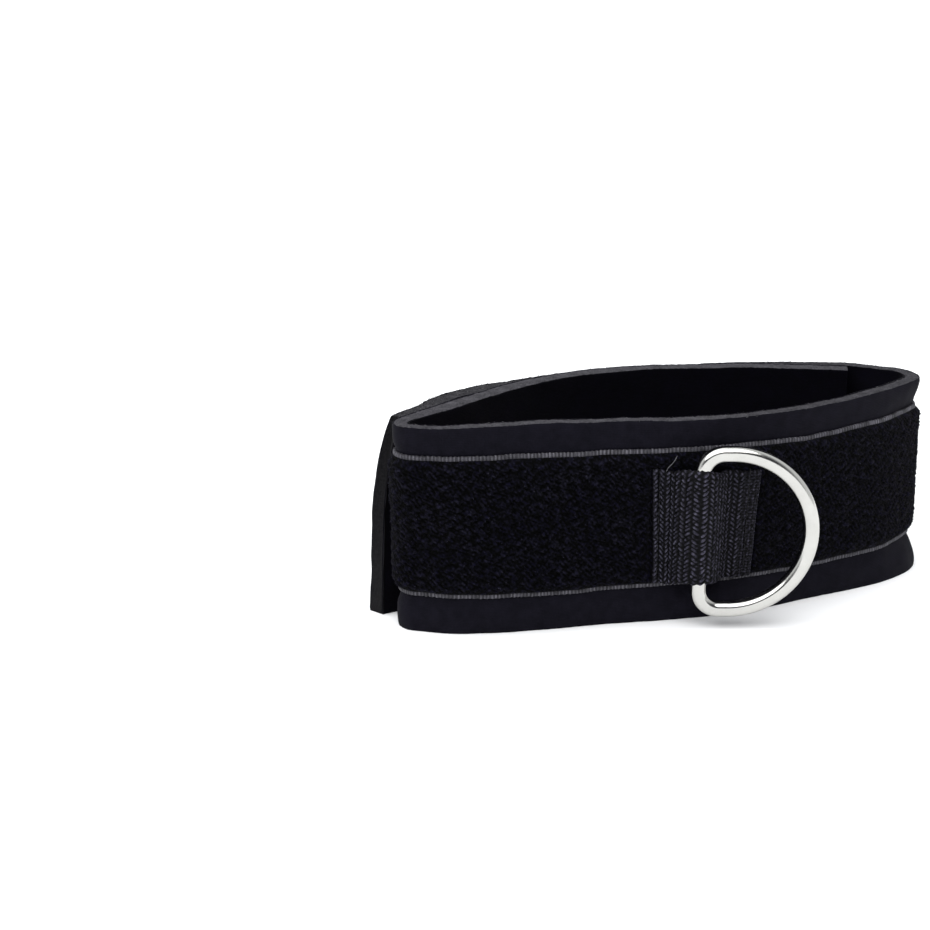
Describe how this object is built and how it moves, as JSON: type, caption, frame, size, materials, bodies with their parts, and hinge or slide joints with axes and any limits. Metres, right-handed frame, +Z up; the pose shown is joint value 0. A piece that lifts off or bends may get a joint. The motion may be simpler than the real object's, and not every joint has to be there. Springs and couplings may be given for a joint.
{
  "type": "ankle cuff",
  "caption": "Foam ankle cuff for a cable machine, a strap in a flattened loop with a hook-and-loop tail and a metal D-ring in a webbing keeper.",
  "frame": {"origin": "on the resting plane, under the middle of the cuff's box", "axes": "+X along the loop's long axis away from the tail's free end, -Y towards the D-ring side, +Y towards the overlapping tail and its label, +Z up along the strap's width"},
  "size_m": [0.1612, 0.0844, 0.055],
  "materials": {
    "foam_core": "cut closed-cell foam, matt grey-black",
    "knit_facing": "fine jersey knit, matt black",
    "knit_lining": "fine brushed knit, black",
    "tape_weave": "ribbed nylon weave, dark grey",
    "loop_pile": "brushed nylon loops, deep black",
    "hook_nylon": "rows of small nylon hooks, black",
    "keeper_webbing": "herringbone polypropylene webbing, black",
    "black_thread": "sewing thread, black",
    "label_weave": "satin-woven label, black with a light pattern",
    "label_thread": "sewing thread, grey",
    "nickel_ring": "polished nickel plate"
  },
  "bodies": {
    "cuff_body": {"body_foam": "foam_core", "body_facing": "knit_facing", "body_lining": "knit_lining", "loop_tape": "tape_weave", "loop_pile": "loop_pile", "tape_stitching": "black_thread", "ring_keeper": "keeper_webbing", "keeper_stitching": "black_thread"},
    "closure_tail": {"tail_foam": "foam_core", "tail_facing": "knit_facing", "tail_lining": "knit_lining", "hook_tape": "tape_weave", "hook_field": "hook_nylon", "hook_stitching": "black_thread", "label": "label_weave", "label_stitching": "label_thread"},
    "swing_ring": {"d_ring": "nickel_ring"}
  },
  "joints": [
    {"name": "tail_peel", "type": "hinge", "parent": "cuff_body", "child": "closure_tail", "pos_m": [0.0417, 0.03174, 0.0275], "axis": [0, 0, -1], "range_deg": [0, 120]},
    {"name": "ring_swing", "type": "hinge", "parent": "cuff_body", "child": "swing_ring", "pos_m": [-0.0038, -0.03016, 0.0262], "axis": [0, 0, -1], "range_deg": [-8, 160]}
  ]
}
